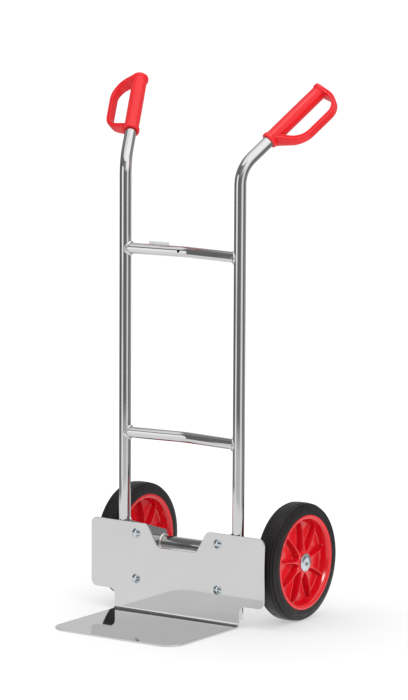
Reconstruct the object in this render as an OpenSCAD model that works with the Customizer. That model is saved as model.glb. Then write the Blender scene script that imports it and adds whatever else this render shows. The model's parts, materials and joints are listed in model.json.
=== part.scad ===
// Two-wheeled hand truck with a bolted load plate, solid tyres and guarded handles.
// Millimetres. X runs across, Y from the load plate (front) to the wheels (back), Z up.
// The origin is on the floor, at the middle of the truck's length and width.

/* [Load plate] */
// Width of the upright plate
plate_w = 440; // [400:5:480]
// Height of the upright plate above the floor
plate_h = 194.5; // [185:0.5:205]
// Height of the underside of the plate's side ears
ear_z = 45.5; // [40:0.5:55]
// Width of the toe that slides under a load
toe_w = 318; // [300:2:340]
// Length of the toe, from the upright plate's front face
toe_len = 240; // [160:5:300]
// Sheet thickness of the load plate
plate_t = 4; // [4:0.5:5]
// Inner radius of the bend between plate and toe
toe_bend_r = 6; // [4:0.5:8]
// Radius of the toe's front corners
toe_corner_r = 40; // [20:2:60]
// Radius of the ears' corners
ear_corner_r = 14; // [8:1:20]
// Half width of the notch at its bottom
notch_half_w = 48.5; // [40:0.5:55]
// Height of the notch's bottom edge
notch_z = 146; // [140:1:160]
// Radius that rounds the notch's corners
notch_r = 15; // [10:1:18]

/* [Plate bolts] */
// Distance between the left and right bolt columns
bolt_gap_x = 207.5; // [200:0.5:214]
// Height of the lower bolts
bolt_low_z = 73.5; // [70:0.5:80]
// Height of the upper bolts
bolt_high_z = 171.5; // [165:0.5:175]
// Thread diameter of the bolts
bolt_d = 8; // [6:1:10]
// Diameter of the domed bolt heads
bolt_head_d = 20; // [18:0.5:22]
// Height of the domed bolt heads
bolt_head_h = 4.5; // [3.5:0.5:5.5]

/* [Frame tubes] */
// Distance between the rails' centre lines
rail_gap = 289; // [280:1:300]
// Outside diameter of the rails
rail_d = 25; // [24:0.5:28]
// Wall thickness of the tubes
tube_wall = 2; // [1.5:0.25:2.5]
// Height of the rails' cut lower ends
rail_foot_z = 13.5; // [8:0.5:30]
// Outside diameter of the cross tubes
cross_d = 23; // [20:0.5:24]
// Height of the lower cross tube's centre line
cross_low_z = 382.5; // [340:2.5:420]
// Height of the upper cross tube's centre line
cross_high_z = 774; // [700:2:820]
// Distance by which the cross tubes' middles are bent back, to hold round loads
cross_setback = 16; // [8:1:20]
// Diameter of the vent hole in the upper cross tube
vent_d = 6; // [4:0.5:8]

/* [Handles] */
// Height at which the rails start to bend
bend_z = 925.5; // [900:0.5:950]
// Radius of the rail's bend below the handle
handle_bend_r = 70; // [60:1:80]
// Angle of the handle above the horizontal
handle_rise = 38.65; // [35:0.05:45]
// Angle by which the handles splay outwards in plan
handle_splay = 26.15; // [20:0.05:30]
// Outside diameter of the grip
grip_d = 31; // [30:0.5:34]
// Distance along the handle from the bend to the guard's lower arm
grip_start = 56.5; // [50:0.5:65]
// Distance along the handle from the bend to the guard's upper arm
grip_end = 210.5; // [200:0.5:220]
// Distance from the grip's centre line to the middle of the guard bar
guard_reach = 61.5; // [55:0.5:68]
// Thickness of the guard's band
guard_t = 9.5; // [8:0.5:11]
// Width of the guard's band along its bar
guard_w = 16; // [14:0.5:20]
// Width of the guard's band around the grip
guard_collar_d = 36; // [35:0.5:40]
// Angle at which the guard's lower arm slants up
guard_slant = 30; // [20:1:35]
// Angle by which the guard is turned down around the grip
guard_turn = 27; // [15:1:40]

/* [Axle] */
// Distance from the plate's front face back to the axle
axle_back = 139; // [130:1:150]
// Diameter of the axle rod
axle_d = 25; // [24:0.5:26]
// Outside diameter of the axle tube
axle_tube_d = 33.7; // [32:0.1:38]
// Sheet thickness of the axle brackets
bracket_t = 3.5; // [3:0.5:4]
// Outside diameter of the caps on the axle's ends
axle_cap_d = 37.5; // [36:0.5:42]
// Distance by which the axle's middle sits to the right of the truck's middle
axle_shift = 5.5; // [-8:0.5:8]

/* [Wheels] */
// Outside diameter of the tyres
tyre_d = 250; // [240:1:260]
// Width of the wheels
wheel_w = 50; // [46:1:54]
// Distance between the wheels' outer faces
wheel_span = 458; // [456:1:470]
// Diameter of the rim's outer lip
rim_d = 201; // [196:1:204]
// Number of ribs on each side of the rim
rib_count = 9; // [6:1:12]
// Outside diameter of the rim's hub
hub_d = 46; // [42:1:50]
// Outside diameter of the bearing bush in the hub
bush_d = 32; // [30:1:34]

/* [Hidden] */

$fn = 96;
eps = 0.01;                     // overlap that keeps cuts clean
cut = 1000;                     // length of a cut that goes right through

// The plate's front face is at y = front_y, so that the box is centred on the origin.
front_y = (toe_len - axle_back - tyre_d / 2) / 2;
rail_x = rail_gap / 2;
rail_back = plate_t + rail_d / 2;           // rail centre, behind the plate's front face
axle_z = tyre_d / 2;
bend_angle = 90 - handle_rise;
bend_bulge = 0.3;                           // the bend's extra radius
lap = 1;                                    // overlap of a rail's straight lengths and its bend
notch_slope = 60;                           // the notch's sides, from the horizontal
notch_run = (plate_h - notch_z) / tan(notch_slope);
notch_tangent = notch_r * tan(notch_slope / 2);
washer_t = 1.6;
washer_d = 18;
nut_h = 6.5;
nut_flats = 13;
bolt_clearance = 0.4;                       // hole diameter minus thread diameter
thread_past_nut = 3;
bracket_outer_x = rail_x - rail_d / 2;      // the bracket's wall touches the rail
flange_w = 46;                              // bracket's front flange, from the wall inwards
flange_low_z = 56;
flange_high_z = 188;
bracket_bend_r = 3;
axle_bore_wall = 4.25;
wheel_clearance = 0.5;                      // end play on each side of a hub
running_gap = 0.05;                         // radial clearance of the bush on the axle
hub_inset = 3;                              // hub faces stand back from the wheel's faces
washer_gap_t = 2.5;                         // thick washer between axle tube and hub
axle_tube_half = wheel_span / 2 - wheel_w + hub_inset - wheel_clearance - washer_gap_t;
cap_wall = 1.5;
cap_dome = 2.5;
lip_t = 4.5;                                // rim lip, along the axle
barrel_r = 91;                              // rim barrel under the tyre
barrel_wall = 3.5;
web_t = 6;
rib_t = 3.5;
rib_hub_depth = 5;                          // rib edge below the wheel's face, at the hub
rib_rim_depth = 12;                         // rib edge below the wheel's face, at the barrel
sidewall_step = 12.8;                       // the step's distance inwards from the tread
groove_depth = 2.3;
groove_in = 11.8;                           // where the tread groove starts, from each face
rib_phase = -3;                             // turn of the ribs round the axle at rest
grip_plug = 3;                              // closed end of the grip beyond the rail
rail_end = grip_end - grip_plug;
guard_low_r = 45;                           // middle of the band, at the guard's lower corner
guard_high_r = 37;                          // the same at its upper corner
bead_r = 4;                                 // size of the weld beads
cross_angle = atan2(cross_setback, rail_x); // each half of a cross tube, from the x axis
cross_half_len = norm([rail_x, cross_setback]);
vent_angle = 12;                            // the vent hole faces front, a little upwards
vent_from_middle = 14;
tab_w = 48;
tab_h = 22;
tab_t = 1;
tab_from_middle = 71;
tab_above = 16.5;                           // the tab's top edge, above the tube's centre line

steel = [0.80, 0.80, 0.79];
zinc = [0.70, 0.74, 0.76];
weld_grey = [0.72, 0.71, 0.69];
red = [0.88, 0.02, 0.08];
black = [0.13, 0.12, 0.12];
nylon = [0.85, 0.84, 0.80];

// Places its children in the plate's own frame: y = 0 is the plate's front face.
module from_plate() {
    translate([0, front_y, 0]) children();
}

module on_side(side) {
    mirror([side < 0 ? 1 : 0, 0, 0]) children();
}

// ---------------------------------------------------------------- load plate

// Points along an arc of radius r around (x, y).
function arc(x, y, r, from, to, steps = 12) = [for (i = [0 : steps])
    let (a = from + (to - from) * i / steps) [x + r * cos(a), y + r * sin(a)]];

// The right half of the upright sheet seen from the front: x across, y up.
function plate_half(half_w = plate_w / 2, r = ear_corner_r) = concat(
    [[toe_w / 2, plate_t + toe_bend_r]],
    arc(toe_w / 2 + r, ear_z - r, r, 180, 90),
    arc(half_w - r, ear_z + r, r, -90, 0),
    arc(half_w - r, plate_h - r, r, 0, 90),
    arc(notch_half_w + notch_run + notch_tangent, plate_h - notch_r, notch_r, 90, 90 + notch_slope),
    arc(notch_half_w - notch_tangent, notch_z + notch_r, notch_r, notch_slope - 90, -90));

module plate_outline() {
    half = plate_half();
    last = len(half) - 1;
    polygon(concat(half, [for (i = [last : -1 : 0]) [-half[i][0], half[i][1]]]));
}

module toe_outline() {
    half_w = toe_w / 2;
    r = toe_corner_r;
    polygon(concat([[half_w, -toe_bend_r], [-half_w, -toe_bend_r]],
        arc(r - half_w, r - toe_len, r, 180, 270), arc(half_w - r, r - toe_len, r, 270, 360)));
}

module bolt_places() {
    for (x = [-bolt_gap_x / 2, bolt_gap_x / 2], z = [bolt_low_z, bolt_high_z])
        translate([x, 0, z]) rotate([-90, 0, 0]) children();
}

module bolt_holes() {
    bolt_places() translate([0, 0, -plate_t])
        cylinder(d = bolt_d + bolt_clearance, h = 4 * plate_t);
}

module toe_plate() {
    color(steel) from_plate() difference() {
        union() {
            translate([0, plate_t, 0]) rotate([90, 0, 0])
                linear_extrude(plate_t) plate_outline();
            linear_extrude(plate_t) toe_outline();
            translate([-toe_w / 2, -toe_bend_r, plate_t + toe_bend_r]) rotate([90, 0, 90])
                linear_extrude(toe_w) quarter_bend(toe_bend_r, plate_t);
        }
        bolt_holes();
    }
}

// Section of bent sheet: the quarter of a ring at positive x and negative y.
module quarter_bend(inner_r, sheet_t) {
    outer_r = inner_r + sheet_t;
    intersection() {
        difference() {
            circle(outer_r);
            circle(inner_r);
        }
        translate([0, -outer_r]) square(outer_r);
    }
}

// ---------------------------------------------------------------- plate bolts

module plate_bolts() {
    dome_r = (pow(bolt_head_d / 2, 2) + pow(bolt_head_h, 2)) / (2 * bolt_head_h);
    shank = plate_t + bracket_t + washer_t + nut_h + thread_past_nut;
    color(zinc) from_plate() bolt_places() {
        intersection() {
            translate([0, 0, dome_r - bolt_head_h]) sphere(dome_r);
            translate([0, 0, -bolt_head_h]) cylinder(d = bolt_head_d, h = bolt_head_h);
        }
        translate([0, 0, -eps]) cylinder(d = bolt_d, h = shank + eps);
    }
}

module plate_washers() {
    color(zinc) from_plate() bolt_places() translate([0, 0, plate_t + bracket_t])
        difference() {
            cylinder(d = washer_d, h = washer_t);
            translate([0, 0, -1]) cylinder(d = bolt_d + bolt_clearance, h = washer_t + 2);
        }
}

module plate_nuts() {
    color(zinc) from_plate() bolt_places()
        translate([0, 0, plate_t + bracket_t + washer_t]) difference() {
            cylinder(d = nut_flats / cos(30), h = nut_h, $fn = 6);
            translate([0, 0, -1]) cylinder(d = bolt_d, h = nut_h + 2);
        }
}

// ---------------------------------------------------------------- frame tubes

// Turned so that the handle leans over towards positive x, from an origin where the bend starts.
module from_bend(side) {
    from_plate() on_side(side) translate([rail_x, rail_back, bend_z])
        rotate([0, 0, 90 - handle_splay]) children();
}

// Puts its children's z axis on the handle's centre line, z = 0 at the end of the bend.
module on_handle() {
    translate([handle_bend_r, 0, 0]) rotate([0, bend_angle, 0])
        translate([-handle_bend_r, 0, 0]) children();
}

// The bent length bulges a little, and the straight lengths run a little way into it.
module rail_solid(r) {
    translate([0, 0, rail_foot_z - bend_z]) cylinder(r = r, h = bend_z - rail_foot_z + lap);
    translate([handle_bend_r, 0, 0]) rotate([-90, 0, 0])
        rotate_extrude(angle = bend_angle, start = 180)
            translate([handle_bend_r, 0]) circle(r + bend_bulge);
    on_handle() translate([0, 0, -lap]) cylinder(r = r, h = rail_end + lap);
}

module rail(side) {
    color(steel) from_bend(side) difference() {
        rail_solid(rail_d / 2);
        rail_solid(rail_d / 2 - tube_wall);
    }
}

module left_rail() { rail(-1); }

module right_rail() { rail(1); }

// A straight bar from a rail's centre line to the truck's middle, cut off square to the x axis.
module cross_half(side, z, d) {
    intersection() {
        on_side(side) translate([rail_x, rail_back, z]) rotate([0, 0, -cross_angle])
            rotate([0, -90, 0]) cylinder(d = d, h = cross_half_len + cross_d);
        on_side(side) translate([0, -cut / 2, z - cross_d]) cube([cut, cut, 2 * cross_d]);
    }
}

// A tube between the rails, bent back in its middle.
module cross_tube(z) {
    from_plate() difference() {
        for (side = [-1, 1]) cross_half(side, z, cross_d);
        for (side = [-1, 1]) cross_half(side, z, cross_d - 2 * tube_wall);
        for (side = [-1, 1]) translate([side * rail_x, rail_back, z - cross_d])
            cylinder(d = rail_d, h = 2 * cross_d);
    }
}

module lower_cross_tube() {
    color(steel) cross_tube(cross_low_z);
}

// Places its children on the upper cross tube's left half, with the origin at its bend.
module on_left_half() {
    from_plate() translate([0, rail_back + cross_setback, cross_high_z])
        rotate([0, 0, cross_angle]) children();
}

module upper_cross_tube() {
    color(steel) difference() {
        cross_tube(cross_high_z);
        on_left_half() translate([-vent_from_middle, 0, 0]) rotate([90 - vent_angle, 0, 0])
            cylinder(d = vent_d, h = cross_d);
    }
}

// Blank tab behind the left half of the upper cross tube.
module type_plate() {
    color([0.85, 0.86, 0.86]) on_left_half()
        translate([-tab_from_middle - tab_w / 2, cross_d / 2, tab_above - tab_h])
            cube([tab_w, tab_t, tab_h]);
}

// Fillet beads all round the joints of cross tubes and rails.
module cross_tube_welds() {
    reach = rail_d / 2 + bead_r / 2;
    color(weld_grey) for (z = [cross_low_z, cross_high_z], side = [-1, 1])
        from_plate() difference() {
            on_side(side) translate([rail_x, rail_back, z]) rotate([0, 0, -cross_angle])
                rotate([0, -90, 0])
                    cylinder(r1 = cross_d / 2 + bead_r, r2 = cross_d / 2, h = reach + bead_r);
            on_side(side) translate([rail_x, rail_back, z]) rotate([0, 0, -cross_angle])
                rotate([0, -90, 0]) cylinder(d = cross_d, h = cross_half_len);
            translate([side * rail_x, rail_back, z - 2 * cross_d])
                cylinder(d = rail_d, h = 4 * cross_d);
        }
}

// ---------------------------------------------------------------- axle brackets

// Side view of the bracket's wall: x to the back, y up.
module bracket_wall_outline() {
    low_z = flange_low_z;
    rear_r = 9;
    difference() {
        union() {
            polygon([[plate_t, low_z], [60, low_z], [142, 92], [150, 104], [147, 127],
                [150.5, 146], [141, 155.5], [16, 194.5], [plate_t, 194.5]]);
            translate([141.5, 146.6]) circle(rear_r);
        }
        translate([axle_back, axle_z]) circle(d = axle_tube_d);
    }
}

module bracket(side) {
    wall_x = bracket_outer_x - bracket_t;
    outer_r = bracket_bend_r + bracket_t;
    color(steel) from_plate() on_side(side) difference() {
        union() {
            translate([wall_x, 0, 0]) rotate([90, 0, 90]) linear_extrude(bracket_t)
                intersection() {
                    bracket_wall_outline();
                    translate([plate_t + outer_r, 0]) square(cut);
                }
            translate([bracket_outer_x - flange_w, plate_t, flange_low_z])
                cube([flange_w - outer_r, bracket_t, flange_high_z - flange_low_z]);
            translate([bracket_outer_x - outer_r, plate_t + outer_r, flange_low_z])
                linear_extrude(flange_high_z - flange_low_z)
                    quarter_bend(bracket_bend_r, bracket_t);
        }
        bolt_holes();
    }
}

module left_bracket() { bracket(-1); }

module right_bracket() { bracket(1); }

// Beads that join each bracket's wall to its rail.
module bracket_welds() {
    bead_length = 20;
    color(weld_grey) for (side = [-1, 1], z = [64, 124, 180])
        from_plate() on_side(side) difference() {
            translate([bracket_outer_x, rail_back + bead_r, z])
                cylinder(r = bead_r, h = bead_length);
            translate([rail_x, rail_back, 0]) cylinder(d = rail_d, h = cut);
            translate([bracket_outer_x - cut, 0, 0]) cube([cut, cut, cut]);
        }
}

// ---------------------------------------------------------------- axle

// The axle, its tube, caps and wheels sit a little off the truck's middle.
module shifted() {
    translate([axle_shift, 0, 0]) children();
}

module along_axle(start_x) {
    from_plate() translate([start_x, axle_back, axle_z]) rotate([0, 90, 0]) children();
}

module axle_tube() {
    color(steel) shifted() along_axle(-axle_tube_half) difference() {
        cylinder(d = axle_tube_d, h = 2 * axle_tube_half);
        translate([0, 0, -1]) cylinder(d = axle_tube_d - 2 * axle_bore_wall,
            h = 2 * axle_tube_half + 2);
    }
}

// Ring beads on the inner faces of the brackets, around the axle tube.
module axle_tube_welds() {
    color(weld_grey) for (side = [-1, 1]) on_side(side)
        along_axle(bracket_outer_x - bracket_t - bead_r) difference() {
            cylinder(r1 = axle_tube_d / 2, r2 = axle_tube_d / 2 + bead_r, h = bead_r);
            translate([0, 0, -1]) cylinder(d = axle_tube_d, h = bead_r + 2);
        }
}

module axle_rod() {
    half = wheel_span / 2 - 1;
    color(zinc) shifted() along_axle(-half) cylinder(d = axle_d, h = 2 * half);
}

// Thick washers between the axle tube's ends and the hubs.
module inner_washers() {
    color(zinc) for (side = [-1, 1]) shifted() on_side(side) along_axle(axle_tube_half) difference() {
        cylinder(d = axle_tube_d + 4, h = washer_gap_t);
        translate([0, 0, -1]) cylinder(d = axle_d, h = washer_gap_t + 2);
    }
}

// Pressed caps that hold the wheels on the axle, with a small centre dimple.
module axle_caps() {
    start = wheel_span / 2 - hub_inset + wheel_clearance;
    r = axle_cap_d / 2;
    inner_r = axle_d / 2;
    color(zinc) for (side = [-1, 1]) shifted() on_side(side) along_axle(start) rotate_extrude()
        difference() {
            union() {
                translate([inner_r, 0]) square([r - inner_r, cap_wall]);
                polygon([[0, cap_wall], [r, cap_wall], [r - 1, cap_wall + 1.2],
                    [r - 5, cap_wall + cap_dome], [3, cap_wall + cap_dome + 0.7],
                    [0, cap_wall + cap_dome]]);
            }
            translate([-1, -1]) square([inner_r + 1, wheel_span / 2 - 1 - start + 1]);
        }
}

// ---------------------------------------------------------------- wheels

// Puts its children's z axis on the axle, z = 0 on the wheel's outer face, +z inwards.
module from_wheel_face(side) {
    shifted() from_plate() on_side(side) translate([wheel_span / 2, axle_back, axle_z])
        rotate([0, -90, 0]) children();
}

// The tyre's outline from a sidewall to the middle of its tread, as [radius, depth] points:
// a step in the sidewall, a shoulder groove, a narrow rib, a tread groove and a slight crown.
function tyre_half(r) = concat(
    [[r - 15, 0], [r - sidewall_step, 1.5], [r - sidewall_step + 1.6, 1.9]],
    [[r - 4.4, 3.2], [r - 3.6, 3.8], [r - 4.8, 5], [r - 4.6, 6.2]],
    [[r - 2, 6.8], [r - 0.9, 8.6], [r - 0.7, groove_in - 0.8]],
    [[r - groove_depth, groove_in], [r - groove_depth, groove_in + 1.4]],
    [[r - 0.5, groove_in + 2.4], [r, wheel_w / 3]]);

// Half section of the tyre: x is the radius, y the distance from the outer face.
module tyre_section() {
    rim_r = rim_d / 2;
    half = tyre_half(tyre_d / 2);
    last = len(half) - 1;
    polygon(concat([[rim_r, 0]], half,
        [for (i = [last : -1 : 0]) [half[i][0], wheel_w - half[i][1]]],
        [[rim_r, wheel_w], [rim_r, wheel_w - lip_t], [barrel_r, wheel_w - lip_t],
            [barrel_r, lip_t], [rim_r, lip_t]]));
}

module tyre(side) {
    color(black) from_wheel_face(side) rotate_extrude() tyre_section();
}

module left_tyre() { tyre(-1); }

module right_tyre() { tyre(1); }

// Half section of the rim: hub, closed web, barrel and two lips.
module rim_section() {
    rim_r = rim_d / 2;
    wall_r = barrel_r - barrel_wall;
    lip = [[wall_r, 12], [wall_r + 0.9, 7.5], [wall_r + 2.2, 4], [wall_r + 4, 1.8],
        [wall_r + 6.3, 0.5], [wall_r + 9, 0], [rim_r, 0], [rim_r, lip_t], [barrel_r, lip_t]];
    last = len(lip) - 1;
    union() {
        translate([bush_d / 2, hub_inset])
            square([(hub_d - bush_d) / 2, wheel_w - 2 * hub_inset]);
        translate([bush_d / 2, (wheel_w - web_t) / 2]) square([barrel_r - bush_d / 2, web_t]);
        polygon(concat(lip,
            [for (i = [last : -1 : 0]) [lip[i][0], wheel_w - lip[i][1]]]));
    }
}

module rim_ribs() {
    rib_inner = bush_d / 2 + 2;
    rib_outer = barrel_r - barrel_wall / 2;
    for (i = [0 : rib_count - 1]) rotate([0, 0, rib_phase + i * 360 / rib_count])
        translate([0, rib_t / 2, 0]) rotate([90, 0, 0]) linear_extrude(rib_t)
            polygon([[rib_inner, rib_hub_depth], [rib_outer, rib_rim_depth],
                [rib_outer, wheel_w - rib_rim_depth], [rib_inner, wheel_w - rib_hub_depth]]);
}

module rim(side) {
    color(red) from_wheel_face(side) union() {
        rotate_extrude() rim_section();
        rim_ribs();
    }
}

module left_rim() { rim(-1); }

module right_rim() { rim(1); }

// Plain bearing bush pressed into the hub.
module bush(side) {
    color(nylon) from_wheel_face(side) translate([0, 0, hub_inset]) difference() {
        cylinder(d = bush_d, h = wheel_w - 2 * hub_inset);
        translate([0, 0, -1]) cylinder(r = axle_d / 2 + running_gap, h = wheel_w);
    }
}

module left_bush() { bush(-1); }

module right_bush() { bush(1); }

// ---------------------------------------------------------------- grips

// Outline of the guard's loop: x is the reach from the grip, y runs up the handle.
function loop_outline(inset) =
    let (reach = guard_reach + guard_t / 2 - inset)
    let (near = inset - 2 * guard_t)
    let (low = grip_start - guard_t / 2 + inset)
    let (high = grip_end + guard_t / 2 - inset)
    let (low_r = guard_low_r + guard_t / 2 - inset)
    let (high_r = guard_high_r + guard_t / 2 - inset)
    let (slant_y = low + inset * (1 / cos(guard_slant) - 1))
    let (arc_y = slant_y + (reach - low_r) * tan(guard_slant) + low_r / cos(guard_slant))
    concat([[near, high], [near, low], [0, low], [0, slant_y]],
        arc(reach - low_r, arc_y, low_r, guard_slant - 90, 0, 16),
        arc(reach - high_r, high - high_r, high_r, 0, 90, 16));

// Width of the guard's band, seen along the handle: wide collar, narrow bar.
module band_profile() {
    far = guard_reach + guard_t;
    r = guard_collar_d / 2;
    turn = atan2(guard_w / 2, far) + acos(r / norm([far, guard_w / 2]));
    polygon(concat(arc(0, 0, r, turn, 360 - turn, 48), [[far, -guard_w / 2], [far, guard_w / 2]]));
}

// The band wraps the grip as a collar at both ends of the guard.
module grip(side) {
    top = grip_end + guard_t / 2;
    bottom = grip_start - guard_t / 2;
    color(red) from_bend(side) on_handle() difference() {
        union() {
            rotate([0, 0, guard_turn - 90]) intersection() {
                rotate([90, 0, 0]) translate([0, 0, -guard_collar_d])
                    linear_extrude(2 * guard_collar_d) difference() {
                        polygon(loop_outline(0));
                        polygon(loop_outline(guard_t));
                    }
                linear_extrude(cut) band_profile();
            }
            translate([0, 0, bottom + 1]) cylinder(d = grip_d, h = top - bottom - 2);
        }
        translate([0, 0, bottom - cut / 10]) cylinder(d = rail_d, h = cut / 10 + rail_end - bottom);
    }
}

module left_grip() { grip(-1); }

module right_grip() { grip(1); }

toe_plate();
plate_bolts();
plate_washers();
plate_nuts();
left_rail();
right_rail();
lower_cross_tube();
upper_cross_tube();
type_plate();
cross_tube_welds();
left_bracket();
right_bracket();
bracket_welds();
axle_tube();
axle_tube_welds();
axle_rod();
inner_washers();
axle_caps();
left_tyre();
right_tyre();
left_rim();
right_rim();
left_bush();
right_bush();
left_grip();
right_grip();
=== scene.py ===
import json
import math

import bmesh
import bpy
from mathutils import Matrix, Vector

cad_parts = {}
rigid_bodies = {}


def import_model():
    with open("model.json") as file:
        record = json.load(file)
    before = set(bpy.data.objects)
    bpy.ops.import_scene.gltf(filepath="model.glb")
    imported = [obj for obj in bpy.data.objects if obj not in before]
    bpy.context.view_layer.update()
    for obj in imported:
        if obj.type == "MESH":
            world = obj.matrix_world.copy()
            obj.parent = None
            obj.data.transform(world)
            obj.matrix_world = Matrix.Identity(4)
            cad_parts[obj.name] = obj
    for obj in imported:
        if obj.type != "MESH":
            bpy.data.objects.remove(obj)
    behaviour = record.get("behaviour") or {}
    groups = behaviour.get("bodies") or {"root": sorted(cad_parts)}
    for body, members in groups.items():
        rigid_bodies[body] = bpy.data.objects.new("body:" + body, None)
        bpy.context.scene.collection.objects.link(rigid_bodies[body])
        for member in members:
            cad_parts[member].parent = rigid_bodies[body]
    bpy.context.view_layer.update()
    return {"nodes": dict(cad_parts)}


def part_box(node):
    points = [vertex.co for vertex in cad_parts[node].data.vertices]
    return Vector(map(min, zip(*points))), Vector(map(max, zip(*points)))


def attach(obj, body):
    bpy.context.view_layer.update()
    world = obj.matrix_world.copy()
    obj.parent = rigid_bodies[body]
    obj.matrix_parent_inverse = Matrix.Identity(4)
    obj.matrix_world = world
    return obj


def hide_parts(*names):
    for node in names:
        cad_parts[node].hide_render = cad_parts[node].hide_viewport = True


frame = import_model()

MM = 0.001

# ---------------- sizes
# The same sizes as in the CAD, in metres. Places come from the CAD nodes' boxes.

PLATE_LOW, PLATE_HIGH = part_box("toe_plate")
PLATE_T = 4 * MM
FRONT_Y = PLATE_HIGH.y - PLATE_T  # the upright plate's front face
TOE_HALF_W = 159 * MM
TOE_BEND_R = 6 * MM
TOE_CORNER_R = 40 * MM
PLATE_EDGE = 0.7 * MM  # rounding of the sheet's edges
EAR_Z = 45.5 * MM
EAR_CORNER_R = 14 * MM
NOTCH_HALF_W = 48.5 * MM
NOTCH_Z = 146 * MM
NOTCH_R = 15 * MM
NOTCH_SLOPE = math.radians(60)

BOLT_X = 103.75 * MM
BOLT_Z = (73.5 * MM, 171.5 * MM)
BOLT_HEAD_R = 10 * MM
BOLT_HEAD_H = 4.5 * MM
BOLT_SHANK_R = 4 * MM

RAIL_X = 144.5 * MM
RAIL_R = 12.5 * MM
RAIL_WALL = 2 * MM
BEND_SQUASH = 0.985
RAIL_Y = FRONT_Y + PLATE_T + RAIL_R
RAIL_FOOT_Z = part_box("right_rail")[0].z
BEND_Z = 925.5 * MM
HANDLE_BEND_R = 70 * MM
HANDLE_RISE = math.radians(38.65)
HANDLE_SPLAY = math.radians(26.15)
BEND_ANGLE = math.pi / 2 - HANDLE_RISE
CROSS_R = 11.5 * MM
CROSS_Z = [sum(c.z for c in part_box(n)) / 2 for n in ("lower_cross_tube", "upper_cross_tube")]
CROSS_SETBACK = 16 * MM  # how far back the cross tubes' middles are bent
CROSS_SLOPE = CROSS_SETBACK / RAIL_X
CROSS_BEND = 13 * MM  # half the length of the rounded bend
VENT_R = 3 * MM
VENT_ANGLE = math.radians(12)
VENT_X = -12.6 * MM

GRIP_R = 15.5 * MM
GRIP_START = 56.5 * MM
GRIP_END = 210.5 * MM
RAIL_END = GRIP_END - 3 * MM
GUARD_REACH = 61.5 * MM
GUARD_T = 9.5 * MM
GUARD_W = 16 * MM
GUARD_COLLAR_R = 18 * MM
GUARD_SLANT = math.radians(30)
GUARD_TURN = math.radians(27)
GUARD_LOW_R = 45 * MM
GUARD_HIGH_R = 37 * MM

TYRE_LOW, TYRE_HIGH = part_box("right_tyre")
TYRE_R = (TYRE_HIGH.z - TYRE_LOW.z) / 2
WHEEL_W = TYRE_HIGH.x - TYRE_LOW.x
LEFT_FACE_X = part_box("left_tyre")[0].x
AXLE_X = (TYRE_HIGH.x + LEFT_FACE_X) / 2  # the axle sits a little off the middle
HALF_SPAN = (TYRE_HIGH.x - LEFT_FACE_X) / 2
AXLE_Y = (TYRE_LOW.y + TYRE_HIGH.y) / 2
AXLE_Z = (TYRE_LOW.z + TYRE_HIGH.z) / 2
RIM_R = 100.5 * MM
BARREL_R = 91 * MM
SEAT_R = BARREL_R + 0.1 * MM  # the channel that the tyre sits in
SEAT_DEPTH = 4.4 * MM
RIB_COUNT = 9
RIB_TURN = math.radians(3)
RIB_HALF_T = 1.15 * MM
RIB_TOP = 4 * MM  # depth of a rib's top at the hub
RIB_FALL = 9.5 * MM  # how much deeper it is at the barrel
HUB_R = 23 * MM
BUSH_R = 16 * MM
AXLE_TUBE_R = 16.85 * MM
AXLE_TUBE_WALL = 4.25 * MM
BRACKET_OUTER_X = RAIL_X - RAIL_R
BRACKET_T = 3.5 * MM
ROD_R = 12.4 * MM
CAP_R = 18.75 * MM
CAP_LIP = 2.4 * MM
CAP_INSIDE = 1.1 * MM

SIDES = ((-1, "left"), (1, "right"))


# ---------------- camera

CAMERA_YAW = math.radians(34.191)
CAMERA_PITCH = math.radians(8.617)
CAMERA_ROLL = math.radians(0.289)
CAMERA_PLACE = Vector((4.81009, FRONT_Y - 6.98101, 1.85662))
CAMERA_AZIMUTH = math.atan2(CAMERA_PLACE.y, CAMERA_PLACE.x)
CAMERA_SENSOR = 36  # in mm, as is the lens
CAMERA_LENS = 211.59


def make_camera():
    """A long lens to the front right of the truck, a little above it, with a hint of roll."""
    right = Vector((math.cos(CAMERA_YAW), math.sin(CAMERA_YAW), 0))
    ahead = Vector((-math.sin(CAMERA_YAW) * math.cos(CAMERA_PITCH),
                    math.cos(CAMERA_YAW) * math.cos(CAMERA_PITCH),
                    -math.sin(CAMERA_PITCH)))
    up = right.cross(ahead)
    cam_x = math.cos(CAMERA_ROLL) * right + math.sin(CAMERA_ROLL) * up
    cam_y = -math.sin(CAMERA_ROLL) * right + math.cos(CAMERA_ROLL) * up
    camera = bpy.data.objects.new("camera", bpy.data.cameras.new("camera"))
    bpy.context.collection.objects.link(camera)
    turn = Matrix((cam_x, cam_y, -ahead)).transposed().to_4x4()
    camera.matrix_world = Matrix.Translation(CAMERA_PLACE) @ turn
    camera.data.sensor_width = CAMERA_SENSOR
    camera.data.lens = CAMERA_LENS
    camera.data.clip_start = 0.1
    camera.data.clip_end = 400
    bpy.context.scene.camera = camera


make_camera()


# ---------------- mesh tools

def arc(x, y, r, start, stop, steps):
    """Points along an arc, angles in degrees."""
    points = []
    for i in range(steps + 1):
        a = math.radians(start + (stop - start) * i / steps)
        points.append((x + r * math.cos(a), y + r * math.sin(a)))
    return points


def smoothstep(x):
    x = min(max(x, 0.0), 1.0)
    return x * x * (3 - 2 * x)


def offsets(base, pairs):
    """A profile's (radius, depth) points from pairs in mm, the radii counted from a base."""
    return [(base + r * MM, z * MM) for r, z in pairs]


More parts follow.
